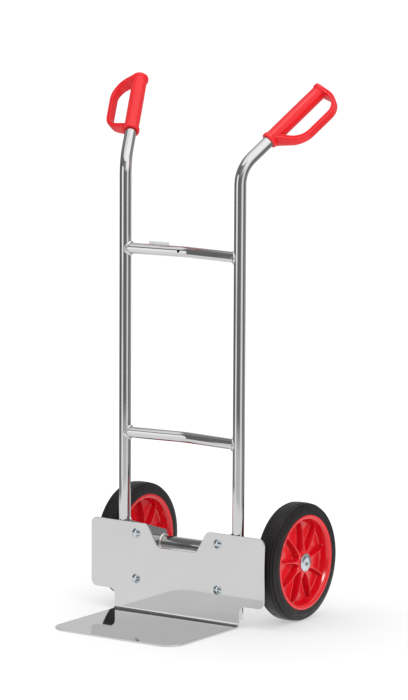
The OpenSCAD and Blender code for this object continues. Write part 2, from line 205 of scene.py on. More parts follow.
def add_mesh(name, verts, faces, material, matrix=None, sharp=180):
    """A smooth mesh object with sharp edges above an angle. A mirrored matrix turns its faces."""
    matrix = matrix or Matrix.Identity(4)
    mesh = bpy.data.meshes.new(name)
    mesh.from_pydata([matrix @ Vector(v) for v in verts], [], faces)
    if matrix.to_3x3().determinant() < 0:
        mesh.flip_normals()
    mesh.update()
    mesh.shade_smooth()
    if sharp < 180:
        mesh.set_sharp_from_angle(angle=math.radians(sharp))
    mesh.materials.append(material)
    obj = bpy.data.objects.new(name, mesh)
    bpy.context.collection.objects.link(obj)
    return obj


def weight_normals(obj):
    mod = obj.modifiers.new("normals", "WEIGHTED_NORMAL")
    mod.keep_sharp = True
    mod.weight = 60


def fix_normals(obj):
    """Turns every face of a closed mesh outwards."""
    bm = bmesh.new()
    bm.from_mesh(obj.data)
    bmesh.ops.recalc_face_normals(bm, faces=bm.faces[:])
    bm.to_mesh(obj.data)
    bm.free()


def join_parts(parts):
    """Joins (verts, faces) pairs into one pair."""
    verts, faces = [], []
    for part_verts, part_faces in parts:
        base = len(verts)
        verts += part_verts
        faces += [[i + base for i in face] for face in part_faces]
    return verts, faces


def loft(rings, close_ring=True, close_path=False, caps=False):
    """Skins rings of points that all have the same count."""
    count = len(rings[0])
    verts = [tuple(p) for ring in rings for p in ring]
    faces = []
    last = len(rings) if close_path else len(rings) - 1
    around = count if close_ring else count - 1
    for i in range(last):
        a = i * count
        b = ((i + 1) % len(rings)) * count
        for j in range(around):
            k = (j + 1) % count
            faces.append([a + j, a + k, b + k, b + j])
    if caps:
        faces.append(list(range(count))[::-1])
        faces.append([(len(rings) - 1) * count + j for j in range(count)])
    return verts, faces


def bridge(first, second):
    """Faces between two closed loops of vertex numbers."""
    after = zip(first[1:] + first[:1], second[1:] + second[:1])
    return [[a, b, d, c] for a, c, (b, d) in zip(first, second, after)]


def lathe(profile, segments, closed=True):
    """Turns a profile of (radius, z) points about z. A radius of zero becomes one point."""
    verts, faces, rows = [], [], []
    for r, z in profile:
        if r < 1e-7:
            rows.append([len(verts)] * segments)
            verts.append((0, 0, z))
            continue
        rows.append(list(range(len(verts), len(verts) + segments)))
        for j in range(segments):
            a = 2 * math.pi * j / segments
            verts.append((r * math.cos(a), r * math.sin(a), z))
    pairs = list(zip(rows, rows[1:]))
    if closed:
        pairs.append((rows[-1], rows[0]))
    for row, nxt in pairs:
        for j in range(segments):
            k = (j + 1) % segments
            face = [row[j], row[k], nxt[k], nxt[j]]
            face = [v for n, v in enumerate(face) if v not in face[:n]]
            if len(face) > 2:
                faces.append(face)
    return verts, faces


def outline_normals(points):
    """Unit outward normals of a counter-clockwise outline's corners, scaled for an even inset."""
    normals = []
    count = len(points)
    for i, p in enumerate(points):
        before, after = points[i - 1], points[(i + 1) % count]
        e1 = Vector((p[0] - before[0], p[1] - before[1])).normalized()
        e2 = Vector((after[0] - p[0], after[1] - p[1])).normalized()
        n1, n2 = Vector((e1.y, -e1.x)), Vector((e2.y, -e2.x))
        n = n1 + n2
        normals.append(n / max(n.dot(n1), 0.4))
    return normals


def sheet_metal(points, thickness, edge, cuts, fold):
    """A flat blank with rounded edges, cut across at each y in cuts and folded by fold(x, y, h)."""
    normals = outline_normals(points)
    diagonal = edge * 0.3
    layers = [(edge, 0), (diagonal, diagonal), (0, edge), (0, thickness - edge),
              (diagonal, thickness - diagonal), (edge, thickness)]
    rings = [[(p[0] - n.x * inset, p[1] - n.y * inset, h) for p, n in zip(points, normals)]
             for inset, h in layers]
    verts, faces = loft(rings)
    count = len(points)
    faces.append(list(range(count)))
    faces.append([(len(rings) - 1) * count + j for j in range(count)][::-1])
    faces = [face[::-1] for face in faces]
    bm = bmesh.new()
    made = [bm.verts.new(v) for v in verts]
    for face in faces:
        bm.faces.new([made[i] for i in face])
    for y in cuts:
        geometry = bm.verts[:] + bm.edges[:] + bm.faces[:]
        bmesh.ops.bisect_plane(bm, geom=geometry, dist=1e-7, plane_co=(0, y, 0),
                               plane_no=(0, 1, 0))
    bmesh.ops.recalc_face_normals(bm, faces=bm.faces[:])
    bm.verts.ensure_lookup_table()
    verts = [fold(*v.co) for v in bm.verts]
    bm.verts.index_update()
    faces = [[v.index for v in f.verts] for f in bm.faces]
    bm.free()
    return verts, faces


def bead(path, ups, radius, pitch=2.3 * MM, closed=True):
    """A weld bead with overlapping ripples along a path. ups point out of the joint."""
    sides = 12
    flat = 0.85  # height to half width
    rippled, wander = 0.13, 0.03  # shares of the radius
    wander_rate = 700  # radians in a metre
    lagging = 0.35 * pitch  # how far a ripple's top trails behind
    tip, tip_rings = 0.35, 6  # how an open bead thins out at its ends
    rings = []
    count = len(path)
    length = 0
    for i in range(count):
        before = path[i - 1] if closed or i else path[0]
        after = path[(i + 1) % count] if closed or i < count - 1 else path[-1]
        ahead = (after - before).normalized()
        if i:
            length += (path[i] - path[i - 1]).length
        up = (ups[i] - ups[i].dot(ahead) * ahead).normalized()
        side = ahead.cross(up)
        step = (length / pitch) % 1
        ripple = 1 + rippled * (math.sqrt(step) - 0.6) + wander * math.sin(length * wander_rate)
        fade = 1
        if not closed:
            fade = tip + (1 - tip) * smoothstep(min(i, count - 1 - i) / tip_rings)
        ring = []
        for j in range(sides):
            a = 2 * math.pi * j / sides
            offset = up * (math.cos(a) * flat) + side * math.sin(a)
            lag = ahead * (lagging * math.cos(a) ** 2)
            ring.append(path[i] + offset * (radius * ripple * fade) - lag)
        rings.append(ring)
    return loft(rings, close_path=closed, caps=not closed)


# ---------------- materials

def map_range(tree, value, low, high, out_low, out_high, smooth=False):
    node = tree.nodes.new("ShaderNodeMapRange")
    if smooth:
        node.interpolation_type = "SMOOTHSTEP"
    node.inputs["From Min"].default_value = low
    node.inputs["From Max"].default_value = high
    node.inputs["To Min"].default_value = out_low
    node.inputs["To Max"].default_value = out_high
    tree.links.new(value, node.inputs["Value"])
    return node.outputs["Result"]


def mix_colours(tree, factor, first, second):
    """Mixes two colours. Each is a socket or a triple."""
    node = tree.nodes.new("ShaderNodeMix")
    node.data_type = "RGBA"
    tree.links.new(factor, node.inputs[0])
    for socket, value in ((node.inputs[6], first), (node.inputs[7], second)):
        if isinstance(value, bpy.types.NodeSocket):
            tree.links.new(value, socket)
        else:
            socket.default_value = (*value, 1)
    return node.outputs[2]


def add_sockets(tree, first, second):
    node = tree.nodes.new("ShaderNodeMath")
    node.operation = "ADD"
    tree.links.new(first, node.inputs[0])
    tree.links.new(second, node.inputs[1])
    return node.outputs[0]


class Shader:
    """Small helper that builds a Principled material's nodes."""

    def __init__(self, name, **values):
        self.material = bpy.data.materials.new(name)
        self.material.use_nodes = True
        self.tree = self.material.node_tree
        self.bsdf = self.tree.nodes["Principled BSDF"]
        self.coords = self.tree.nodes.new("ShaderNodeTexCoord").outputs["Object"]
        for key, value in values.items():
            self.bsdf.inputs[key.replace("_", " ")].default_value = value

    def node(self, kind, **inputs):
        node = self.tree.nodes.new(kind)
        for key, value in inputs.items():
            if isinstance(value, bpy.types.NodeSocket):
                self.tree.links.new(value, node.inputs[key])
            else:
                node.inputs[key].default_value = value
        return node

    def link(self, output, socket):
        self.tree.links.new(output, self.bsdf.inputs[socket])

    def stretched(self, scale):
        return self.node("ShaderNodeMapping", Vector=self.coords, Scale=scale).outputs["Vector"]

    def noise(self, scale, detail, vector=None):
        return self.node("ShaderNodeTexNoise", Vector=vector or self.coords, Scale=scale,
                         Detail=detail, Roughness=0.55).outputs["Fac"]

    def bump(self, height, strength, distance, after=None):
        node = self.node("ShaderNodeBump", Height=height, Strength=strength, Distance=distance)
        if after is not None:
            self.tree.links.new(after, node.inputs["Normal"])
        return node.outputs["Normal"]

    def set_colour(self, noise, first, second, low=0.35, high=0.7):
        """A base colour that drifts between two colours."""
        factor = map_range(self.tree, noise, low, high, 0, 1)
        self.link(mix_colours(self.tree, factor, first, second), "Base Color")

    def set_roughness(self, noise, least, most, high=0.7):
        self.link(map_range(self.tree, noise, 0.3, high, least, most), "Roughness")


def chrome(name, tone, roughness, stretch=(1, 1, 0.04), wave=0.00002):
    """Bright plated steel: a slow wobble along the tube, fine draw marks and a few hazy spots."""
    s = Shader(name, Metallic=1.0)
    s.set_colour(s.noise(9, 4), tone, [c * 0.95 for c in tone])
    marks = s.noise(900, 2, s.stretched(stretch))
    dull = map_range(s.tree, marks, 0.3, 0.75, roughness * 0.8, roughness * 1.5)
    spots = map_range(s.tree, s.noise(60, 5), 0.55, 0.75, 0, 0.05)
    s.link(add_sockets(s.tree, dull, spots), "Roughness")
    slow = s.bump(s.noise(14, 1), 0.12, wave * 20)
    s.link(s.bump(marks, 0.03, wave, slow), "Normal")
    return s.material


def plate_metal():
    """Rolled, plated sheet: close to a mirror, with a cloudy film and faint cross-grain."""
    s = Shader("plate_metal", Metallic=1.0)
    s.set_colour(s.noise(7, 5), (0.60, 0.596, 0.597), (0.565, 0.563, 0.566), high=0.68)
    grain = s.noise(700, 2, s.stretched((0.02, 1, 1)))
    s.set_roughness(grain, 0.03, 0.07, high=0.75)
    slow = s.bump(s.noise(6, 1), 0.08, 0.0006)
    s.link(s.bump(grain, 0.03, 0.00002, slow), "Normal")
    return s.material


def zinc(name, tone):
    """Blue-bright zinc on pressed steel."""
    s = Shader(name, Metallic=1.0)
    cloud = s.noise(160, 4)
    s.set_colour(cloud, tone, [c * 0.8 for c in tone])
    s.set_roughness(cloud, 0.12, 0.26)
    s.link(s.bump(s.noise(400, 3), 0.1, 0.00006), "Normal")
    return s.material


def weld_metal():
    """Plated weld beads, duller in their hollows."""
    s = Shader("weld_metal", Metallic=1.0)
    cloud = s.noise(220, 4)
    s.set_colour(cloud, (0.78, 0.775, 0.76), (0.5, 0.49, 0.47))
    s.set_roughness(cloud, 0.12, 0.3)
    s.link(s.bump(s.noise(420, 3), 0.4, 0.00015), "Normal")
    return s.material


def rubber():
    """Black moulded rubber, a little dusty, with a fine grain."""
    s = Shader("tyre_rubber", Specular_IOR_Level=0.26)
    s.set_colour(s.noise(24, 6), (0.0085, 0.0068, 0.0068), (0.018, 0.015, 0.015), 0.4, 0.75)
    s.set_roughness(s.noise(70, 4), 0.36, 0.55)
    fine = s.bump(s.noise(1400, 2), 0.25, 0.00012)
    s.link(s.bump(s.noise(120, 3), 0.15, 0.0003, fine), "Normal")
    return s.material


def red_plastic(name, roughness, grain, coat):
    """Injection-moulded red, with slight flow marks, a soft orange peel and a fine grain."""
    s = Shader(name, Specular_IOR_Level=0.5, Coat_Weight=coat, Coat_Roughness=0.12)
    s.set_colour(s.noise(16, 4), (0.70, 0.001, 0.008), (0.63, 0.001, 0.006))
    s.set_roughness(s.noise(90, 3), roughness * 0.85, roughness * 1.2)
    peel = s.bump(s.noise(60, 1), 0.05, 0.0002)
    s.link(s.bump(s.noise(500, 2), grain, 0.00008, peel), "Normal")
    return s.material


def tab_paint():
    """Pale lacquer on a thin tab, a little mottled."""
    s = Shader("tab_lacquer", Metallic=0.15, Specular_IOR_Level=0.4)
    s.set_colour(s.noise(80, 4), (0.74, 0.75, 0.75), (0.68, 0.69, 0.69), low=0.3)
    s.set_roughness(s.noise(200, 3), 0.4, 0.55)
    s.link(s.bump(s.noise(500, 2), 0.02, 0.00005), "Normal")
    return s.material


def nylon():
    """Natural nylon, faintly translucent."""
    s = Shader("bush_nylon", Specular_IOR_Level=0.45, Subsurface_Weight=0.1)
    s.set_colour(s.noise(60, 4), (0.72, 0.71, 0.66), (0.62, 0.6, 0.54), low=0.3)
    s.set_roughness(s.noise(200, 3), 0.35, 0.5)
    s.link(s.bump(s.noise(900, 2), 0.2, 0.0001), "Normal")
    return s.material


RAIL_CHROME = chrome("rail_chrome", (0.60, 0.60, 0.605), 0.045)
CROSS_CHROME = chrome("cross_chrome", (0.60, 0.60, 0.605), 0.045, (0.04, 1, 1))
PIPE_CHROME = chrome("pipe_chrome", (0.54, 0.54, 0.54), 0.06, (1, 1, 0.04))
BRACKET_CHROME = chrome("bracket_chrome", (0.56, 0.56, 0.56), 0.07, (1, 0.05, 1))
PLATE_METAL = plate_metal()
BOLT_ZINC = zinc("bolt_zinc", (0.60, 0.68, 0.72))
CAP_ZINC = zinc("cap_zinc", (0.64, 0.70, 0.74))
WELD_METAL = weld_metal()
TAB_LACQUER = tab_paint()
RUBBER = rubber()
RIM_RED = red_plastic("rim_red", 0.17, 0.01, 0.3)
GRIP_RED = red_plastic("grip_red", 0.34, 0.0, 0.0)
NYLON = nylon()


def paint(material, *nodes):
    """Gives CAD nodes that stay a better material."""
    for name in nodes:
        mesh = frame["nodes"][name].data
        for i in range(max(len(mesh.materials), 1)):
            if mesh.materials:
                mesh.materials[i] = material
            else:
                mesh.materials.append(material)


def soften_edges(name, width):
    """Welds and rounds the edges of a CAD node with modifiers."""
    obj = frame["nodes"][name]
    obj.modifiers.new("weld", "WELD").merge_threshold = 1e-6
    mod = obj.modifiers.new("round", "BEVEL")
    mod.width = width
    mod.segments = 2
    mod.limit_method = "ANGLE"
    mod.angle_limit = math.radians(40)
    mod.use_clamp_overlap = True
    weight_normals(obj)


# ---------------- load plate

def make_plate():
    """The load plate as one folded blank. The blank's y is the height, and goes below zero for
    the bend and the toe."""
    half_w = PLATE_HIGH.x
    top = PLATE_HIGH.z
    r = EAR_CORNER_R
    run = (top - NOTCH_Z) / math.tan(NOTCH_SLOPE)
    tangent = NOTCH_R * math.tan(NOTCH_SLOPE / 2)
    bend_low = PLATE_T + TOE_BEND_R
    bend_length = (TOE_BEND_R + PLATE_T / 2) * math.pi / 2
    toe_length = (FRONT_Y - PLATE_LOW.y) - TOE_BEND_R
    blank_end = bend_low - bend_length - toe_length
    steps = 10
    half = arc(TOE_HALF_W + r, EAR_Z - r, r, 180, 90, steps)
    half += arc(half_w - r, EAR_Z + r, r, -90, 0, steps)
    half += arc(half_w - r, top - r, r, 0, 90, steps)
    half += arc(NOTCH_HALF_W + run + tangent, top - NOTCH_R, NOTCH_R, 90, 150, steps)
    half += arc(NOTCH_HALF_W - tangent, NOTCH_Z + NOTCH_R, NOTCH_R, -30, -90, steps)
    points = half + [(-x, y) for x, y in reversed(half)]
    corner_x, corner_y = TOE_HALF_W - TOE_CORNER_R, blank_end + TOE_CORNER_R
    points += arc(-corner_x, corner_y, TOE_CORNER_R, 180, 270, steps * 2)
    points += arc(corner_x, corner_y, TOE_CORNER_R, 270, 360, steps * 2)

    def fold(x, y, h):
        if y >= bend_low:
            return (x, FRONT_Y + h, y)
        turn = (bend_low - y) / bend_length * math.pi / 2
        if turn <= math.pi / 2:
            r_h = TOE_BEND_R + h
            return (x, FRONT_Y - TOE_BEND_R + r_h * math.cos(turn), bend_low - r_h * math.sin(turn))
        run_out = bend_low - bend_length - y
        return (x, FRONT_Y - TOE_BEND_R - run_out, PLATE_T - h)

    folds = 12
    cuts = [bend_low - bend_length * i / folds for i in range(folds + 1)]
    verts, faces = sheet_metal(points, PLATE_T, PLATE_EDGE, cuts, fold)
    plate = add_mesh("load_plate_sheet", verts, faces, PLATE_METAL, sharp=60)
    weight_normals(plate)
    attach(plate, "frame")
    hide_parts("toe_plate")


def make_bolts():
    """Domed heads with a small washer face under them, and plain shanks."""
    dome_r = (BOLT_HEAD_R ** 2 + BOLT_HEAD_H ** 2) / (2 * BOLT_HEAD_H)
    profile = []
    steps = 14
    for i in range(steps + 1):
        r = BOLT_HEAD_R * 0.97 * i / steps
        profile.append((r, dome_r - BOLT_HEAD_H - math.sqrt(dome_r ** 2 - r ** 2)))
    profile += offsets(BOLT_HEAD_R, [(0, -0.55), (0, -0.2), (-0.3, 0)])
    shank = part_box("plate_bolts")[1].y - FRONT_Y
    chamfer = 0.6 * MM
    profile += [(BOLT_SHANK_R, 0), (BOLT_SHANK_R, shank - chamfer),
                (BOLT_SHANK_R - chamfer, shank), (0, shank)]
    verts, faces = lathe(profile, 48, closed=False)
    faces = [face[::-1] for face in faces]
    turn = Matrix.Rotation(-math.pi / 2, 4, "X")
    for i, (x, z) in enumerate([(s * BOLT_X, z) for s in (-1, 1) for z in BOLT_Z]):
        place = Matrix.Translation((x, FRONT_Y, z)) @ turn
        bolt = add_mesh(f"carriage_bolt_{i + 1}", verts, faces, BOLT_ZINC, place, sharp=40)
        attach(bolt, "frame")
        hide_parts("plate_bolts")


# ---------------- frame tubes

def side_matrix(side):
    return Matrix.Scale(-1, 4, (1, 0, 0)) if side < 0 else Matrix.Identity(4)


def bend_matrix(side):
    """Origin where a rail's bend starts, x towards where the handle leans."""
    place = Matrix.Translation((RAIL_X, RAIL_Y, BEND_Z))
    return side_matrix(side) @ place @ Matrix.Rotation(math.pi / 2 - HANDLE_SPLAY, 4, "Z")


def handle_matrix(side):
    """z along the handle's centre line, from the end of the bend."""
    out = Matrix.Translation((HANDLE_BEND_R, 0, 0))
    back = Matrix.Translation((-HANDLE_BEND_R, 0, 0))
    return bend_matrix(side) @ out @ Matrix.Rotation(BEND_ANGLE, 4, "Y") @ back


def rail_stations():
    """(point, tangent) along a rail in its bend's plane: x out, z up."""
    straight, bend, handle = 25, 32, 8  # steps along each part
    foot = RAIL_FOOT_Z - BEND_Z
    stations = [((0, foot), 0), ((0, foot + 1 * MM), 0)]
    for i in range(1, straight):
        stations.append(((0, foot * (1 - i / straight)), 0))
    for i in range(0, bend + 1):
        a = BEND_ANGLE * i / bend
        stations.append(((HANDLE_BEND_R * (1 - math.cos(a)), HANDLE_BEND_R * math.sin(a)), a))
    end_x, end_z = stations[-1][0]
    for i in range(1, handle + 1):
        d = RAIL_END * i / handle
        stations.append(((end_x + d * math.sin(BEND_ANGLE), end_z + d * math.cos(BEND_ANGLE)),
                         BEND_ANGLE))
    return stations


def make_rail(side, name, node):
    """A bent tube with a wall, squashed a hair through the bend as a real bent tube is."""
    sides = 64
    rings = []

    def ring(station, radius, shift=0.0):
        (x, z), a = station
        flat = BEND_SQUASH if 0 < a < BEND_ANGLE else 1
        points = []
        for j in range(sides):
            t = 2 * math.pi * j / sides
            across, depth = radius * math.sin(t), radius * math.cos(t) * flat
            points.append(Vector((x + depth * math.cos(a) + shift * math.sin(a), -across,
                                  z - depth * math.sin(a) + shift * math.cos(a))))
        return points

    stations = rail_stations()
    inner = RAIL_R - RAIL_WALL
    for station in reversed(stations):
        rings.append(ring(station, inner))
    foot_edge = offsets(inner, [(0.3, 0)]) + offsets(RAIL_R, [(-0.4, 0), (-0.1, 0.15), (0, 0.5)])
    for radius, shift in foot_edge:
        rings.append(ring(stations[0], radius, shift))
    for station in stations[1:]:
        rings.append(ring(station, RAIL_R))
    verts, faces = loft(rings, close_path=True)
    faces = [face[::-1] for face in faces]
    rail = add_mesh(name, verts, faces, RAIL_CHROME, bend_matrix(side), sharp=50)
    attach(rail, "frame")
    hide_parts(node)


def set_back(x):
    """How far a cross tube's centre line lies behind the rails' one: a V with a rounded tip."""
    if abs(x) > CROSS_BEND:
        return CROSS_SETBACK - CROSS_SLOPE * abs(x)
    return CROSS_SETBACK - CROSS_SLOPE * (CROSS_BEND + x * x / CROSS_BEND) / 2


def reach_to_rail(y):
    """The distance across from a rail's centre line to its skin, where a line of a cross tube
    at depth y meets it."""
    k = 1 + CROSS_SLOPE ** 2
    root = (y * CROSS_SLOPE) ** 2 - k * (y * y - RAIL_R ** 2)
    return (math.sqrt(root) - y * CROSS_SLOPE) / k


def tube_skin(radius, hole_r):
    """One skin of a cross tube along x, its ends shaped to the rails. With a hole radius it has
    a round hole in front. Returns its points, its faces, its end rings and the hole's edge."""
    sides, half = 96, 6
    pitch = 2 * math.pi / sides
    straight = 30 * MM

    def on_skin(x, turn):
        return (x, -radius * math.cos(VENT_ANGLE + turn), radius * math.sin(VENT_ANGLE + turn))

    def row(reach, share):
        ring = []
        for j in range(sides):
            y = -radius * math.cos(VENT_ANGLE + j * pitch)
            end = RAIL_X - reach_to_rail(y) + 0.3 * MM
            x = reach * (1 - share) + end * share
            ring.append(on_skin(x, j * pitch))
        return ring

    step = pitch * CROSS_R  # makes the hole's surroundings square
    spread = 8  # rows between a straight part and a rail
    rows = [row(straight, i / spread) for i in range(spread, 0, -1)]
    rows = [[(-x, y, z) for x, y, z in ring] for ring in rows]
    rows += [row(-straight, 0), row(-24 * MM, 0)]
    first = len(rows)
    rows += [row(VENT_X + i * step, 0) for i in range(-half, half + 1)]
    rows += [row(i * MM, 0) for i in range(-7, 12)]
    rows += [row(straight, i / spread) for i in range(0, spread + 1)]
    verts, faces = loft(rows)
    kept = []
    for n, face in enumerate(faces):
        i, j = divmod(n, sides)
        j = (j + sides // 2) % sides - sides // 2
        inside = first <= i < first + 2 * half and -half <= j < half
        if not (hole_r and inside):
            kept.append(face)
    ends = (list(range(sides)), [len(verts) - sides + j for j in range(sides)])
    if not hole_r:
        return verts, kept, ends, []
    square = [(i, -half) for i in range(-half, half)] + [(half, j) for j in range(-half, half)]
    square += [(-i, -j) for i, j in square]
    previous = [(first + half + i) * sides + j % sides for i, j in square]
    for t in (0.45, 0.8, 1):
        ring = []
        for i, j in square:
            a = math.atan2(j, i)
            reach, turn = hole_r * math.cos(a), hole_r * math.sin(a) / radius
            x = VENT_X + i * step * (1 - t) + reach * t
            ring.append(len(verts))
            verts.append(on_skin(x, j * pitch * (1 - t) + turn * t))
        kept += bridge(previous, ring)
        previous = ring
    return verts, kept, ends, previous


def make_cross_tube(z, name, node, hole_r):
    """A cross tube with a wall; the upper one has a small vent hole with a rounded edge."""
    outer, faces, ends, edge = tube_skin(CROSS_R, hole_r + 0.35 * MM if hole_r else 0)
    inner, more, inner_ends, inner_edge = tube_skin(CROSS_R - RAIL_WALL, hole_r)
    base = len(outer)
    verts = outer + inner
    faces += [[i + base for i in face[::-1]] for face in more]
    for ring, other in zip(ends, inner_ends):
        faces += bridge(ring, [i + base for i in other])
    if hole_r:
        inner_edge = [i + base for i in inner_edge]
        lip = []
        for n, m in zip(edge, inner_edge):
            depth = Vector(verts[n]) - Vector(verts[m])
            depth.x = 0
            lip.append(len(verts))
            verts.append(tuple(Vector(verts[m]) + depth * 0.86))
        faces += bridge(edge, lip) + bridge(lip, inner_edge)
    verts = [(x, y + set_back(x), z) for x, y, z in verts]
    tube = add_mesh(name, verts, faces, CROSS_CHROME, Matrix.Translation((0, RAIL_Y, z)), sharp=30)
    fix_normals(tube)
    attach(tube, "frame")
    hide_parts(node)


def make_axle_tube():
    """The pipe round the axle rod, between the wheels, with chamfered ends."""
    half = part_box("axle_tube")[1].x - AXLE_X
    inner = AXLE_TUBE_R - AXLE_TUBE_WALL
    chamfer = 0.6 * MM
    profile = [(inner, -half), (AXLE_TUBE_R - chamfer, -half), (AXLE_TUBE_R, chamfer - half)]
    profile += [(AXLE_TUBE_R, half * (i / 8 - 1)) for i in range(1, 16)]
    profile += [(AXLE_TUBE_R, half - chamfer), (AXLE_TUBE_R - chamfer, half), (inner, half)]
    verts, faces = lathe(profile, 96)
    place = Matrix.Translation((AXLE_X, AXLE_Y, AXLE_Z)) @ Matrix.Rotation(math.pi / 2, 4, "Y")
    tube = add_mesh("axle_pipe", verts, faces, PIPE_CHROME, place, sharp=30)
    fix_normals(tube)
    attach(tube, "frame")
    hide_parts("axle_tube")


def add_weld(name, node, mesh):
    weld = add_mesh(name, *mesh, WELD_METAL)
    fix_normals(weld)
    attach(weld, "frame")
    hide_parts(node)


def make_cross_welds():
    """A rippled bead round each joint of a cross tube and a rail."""
    steps = 150
    for level, z in zip(("low", "high"), CROSS_Z):
        for side, word in SIDES:
            path, ups = [], []
            for i in range(steps):
                a = 2 * math.pi * i / steps
                y, dz = CROSS_R * math.cos(a), CROSS_R * math.sin(a)
                inset = reach_to_rail(y)
                y += inset * CROSS_SLOPE
                radial = Vector((side * CROSS_SLOPE * math.cos(a), math.cos(a), math.sin(a)))
                wall = Vector((-side * inset, y, 0)).normalized()
                up = (radial + wall).normalized()
                path.append(Vector((side * (RAIL_X - inset), RAIL_Y + y, z + dz)) + up * 0.9 * MM)
                ups.append(up)
            add_weld(f"weld_{level}_{word}", "cross_tube_welds", bead(path, ups, 3.7 * MM))


def make_bracket_welds():
    """Short vertical beads between each bracket's wall and its rail. The lower two lie behind
    the tube, and the fatter top one is in sight beside it."""
    length = 20 * MM
    steps = 39
    low = (64 * MM, 1.6 * MM, 5.6 * MM, 2.4 * MM)  # start, out, back and radius
    middle = (124 * MM, 1.6 * MM, 5.6 * MM, 2.4 * MM)
    top = (180 * MM, -0.4 * MM, 1.5 * MM, 3.2 * MM)
    count = 0
    for side in (-1, 1):
        for start, out, back, radius in (low, middle, top):
            path, ups = [], []
            for i in range(steps + 1):
                z = start + length * i / steps
                path.append(Vector((side * (BRACKET_OUTER_X + out), RAIL_Y + back, z)))
                ups.append(Vector((side * 0.6, 0.8, 0)))
            count += 1
            add_weld(f"bracket_weld_{count}", "bracket_welds",
                     bead(path, ups, radius, closed=False))


def make_axle_welds():
    """A rippled ring round the axle tube on the inner side of each bracket."""
    steps = 180
    for side, word in SIDES:
        x = side * (BRACKET_OUTER_X - BRACKET_T)
        path, ups = [], []
        for i in range(steps):
            a = 2 * math.pi * i / steps
            radial = Vector((0, math.cos(a), math.sin(a)))
            up = (radial - Vector((side, 0, 0))).normalized()
            path.append(Vector((x, AXLE_Y, AXLE_Z)) + radial * AXLE_TUBE_R + up * 0.6 * MM)
            ups.append(up)
        add_weld(f"axle_weld_{word}", "axle_tube_welds",
                 bead(path, ups, 4.4 * MM, pitch=3.4 * MM))


# ---------------- wheels

def wheel_matrix(side):
    """z runs inwards along the axle from the wheel's outer face."""
    shift = Matrix.Translation((AXLE_X, 0, 0))
    place = Matrix.Translation((HALF_SPAN, AXLE_Y, AXLE_Z))
    return shift @ side_matrix(side) @ place @ Matrix.Rotation(-math.pi / 2, 4, "Y")


def rounded(points, radius, steps=4):
    """Rounds the corners of a closed profile."""
    result = []
    count = len(points)
    for i in range(count):
        p = Vector(points[i])
        a, b = Vector(points[i - 1]), Vector(points[(i + 1) % count])
        da, db = a - p, b - p
        r = min(radius, da.length * 0.45, db.length * 0.45)
        start, stop = p + da.normalized() * r, p + db.normalized() * r
        for j in range(steps + 1):
            t = j / steps
            q = start.lerp(p, t).lerp(p.lerp(stop, t), t)
            result.append((q.x, q.y))
    return result


def make_tyre(side, name, node, body):
    """A solid tyre: stepped sidewalls, rounded shoulders and grooves round the tread."""
    w = WHEEL_W
    half = offsets(RIM_R, [(0, 0.3), (1.2, 0)])
    half += offsets(TYRE_R, [(-15, 0), (-13.8, 0.3), (-12.8, 1.5), (-11.2, 1.9), (-4.4, 3.2)])
    half += offsets(TYRE_R, [(-3.6, 3.8), (-4.8, 5), (-4.6, 6.2), (-2, 6.8), (-0.9, 8.6)])
    half += offsets(TYRE_R, [(-0.7, 11), (-2.3, 11.8), (-2.3, 13.2), (-0.5, 14.2), (0, 17)])
    profile = half + [(a, w - b) for a, b in reversed(half)]
    profile += [(RIM_R, w - SEAT_DEPTH), (SEAT_R, w - SEAT_DEPTH), (SEAT_R, SEAT_DEPTH),
                (RIM_R, SEAT_DEPTH)]
    verts, faces = lathe(rounded(profile, 0.9 * MM, 3), 160)
    tyre = add_mesh(name, verts, faces, RUBBER, wheel_matrix(side), sharp=50)
    fix_normals(tyre)
    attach(tyre, body)
    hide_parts(node)


def rib_mesh(angle, web_z):
    """One rib of a rim's face: thin, flared into the hub, the wall and the web."""
    inner, outer = HUB_R - 2 * MM, BARREL_R - 1.5 * MM
    edge = 0.9 * MM
    rings = []
    steps = 26
    for i in range(steps + 1):
        t = i / steps
        r = inner + (outer - inner) * t
        top = RIB_TOP + RIB_FALL * t ** 4
        width = RIB_HALF_T
        width += 4.6 * MM * math.exp(-(r - HUB_R) / (8 * MM))
        width += 2.2 * MM * math.exp(-(outer - r) / (3.2 * MM))
        low = width + 1.1 * MM
        half = [(-low - 2.2 * MM, web_z + 0.4 * MM), (-low - 0.5 * MM, web_z - 0.9 * MM),
                (-low, web_z - 3 * MM), (-width, top + edge),
                (-width + edge / 2, top + 0.2 * MM), (-width + edge, top)]
        section = half + [(-s, z) for s, z in reversed(half)]
        rings.append([(r, s, z) for s, z in section])
    verts, faces = loft(rings, close_ring=False)
    turn = Matrix.Rotation(angle, 4, "Z")
    return [tuple(turn @ Vector(v)) for v in verts], faces


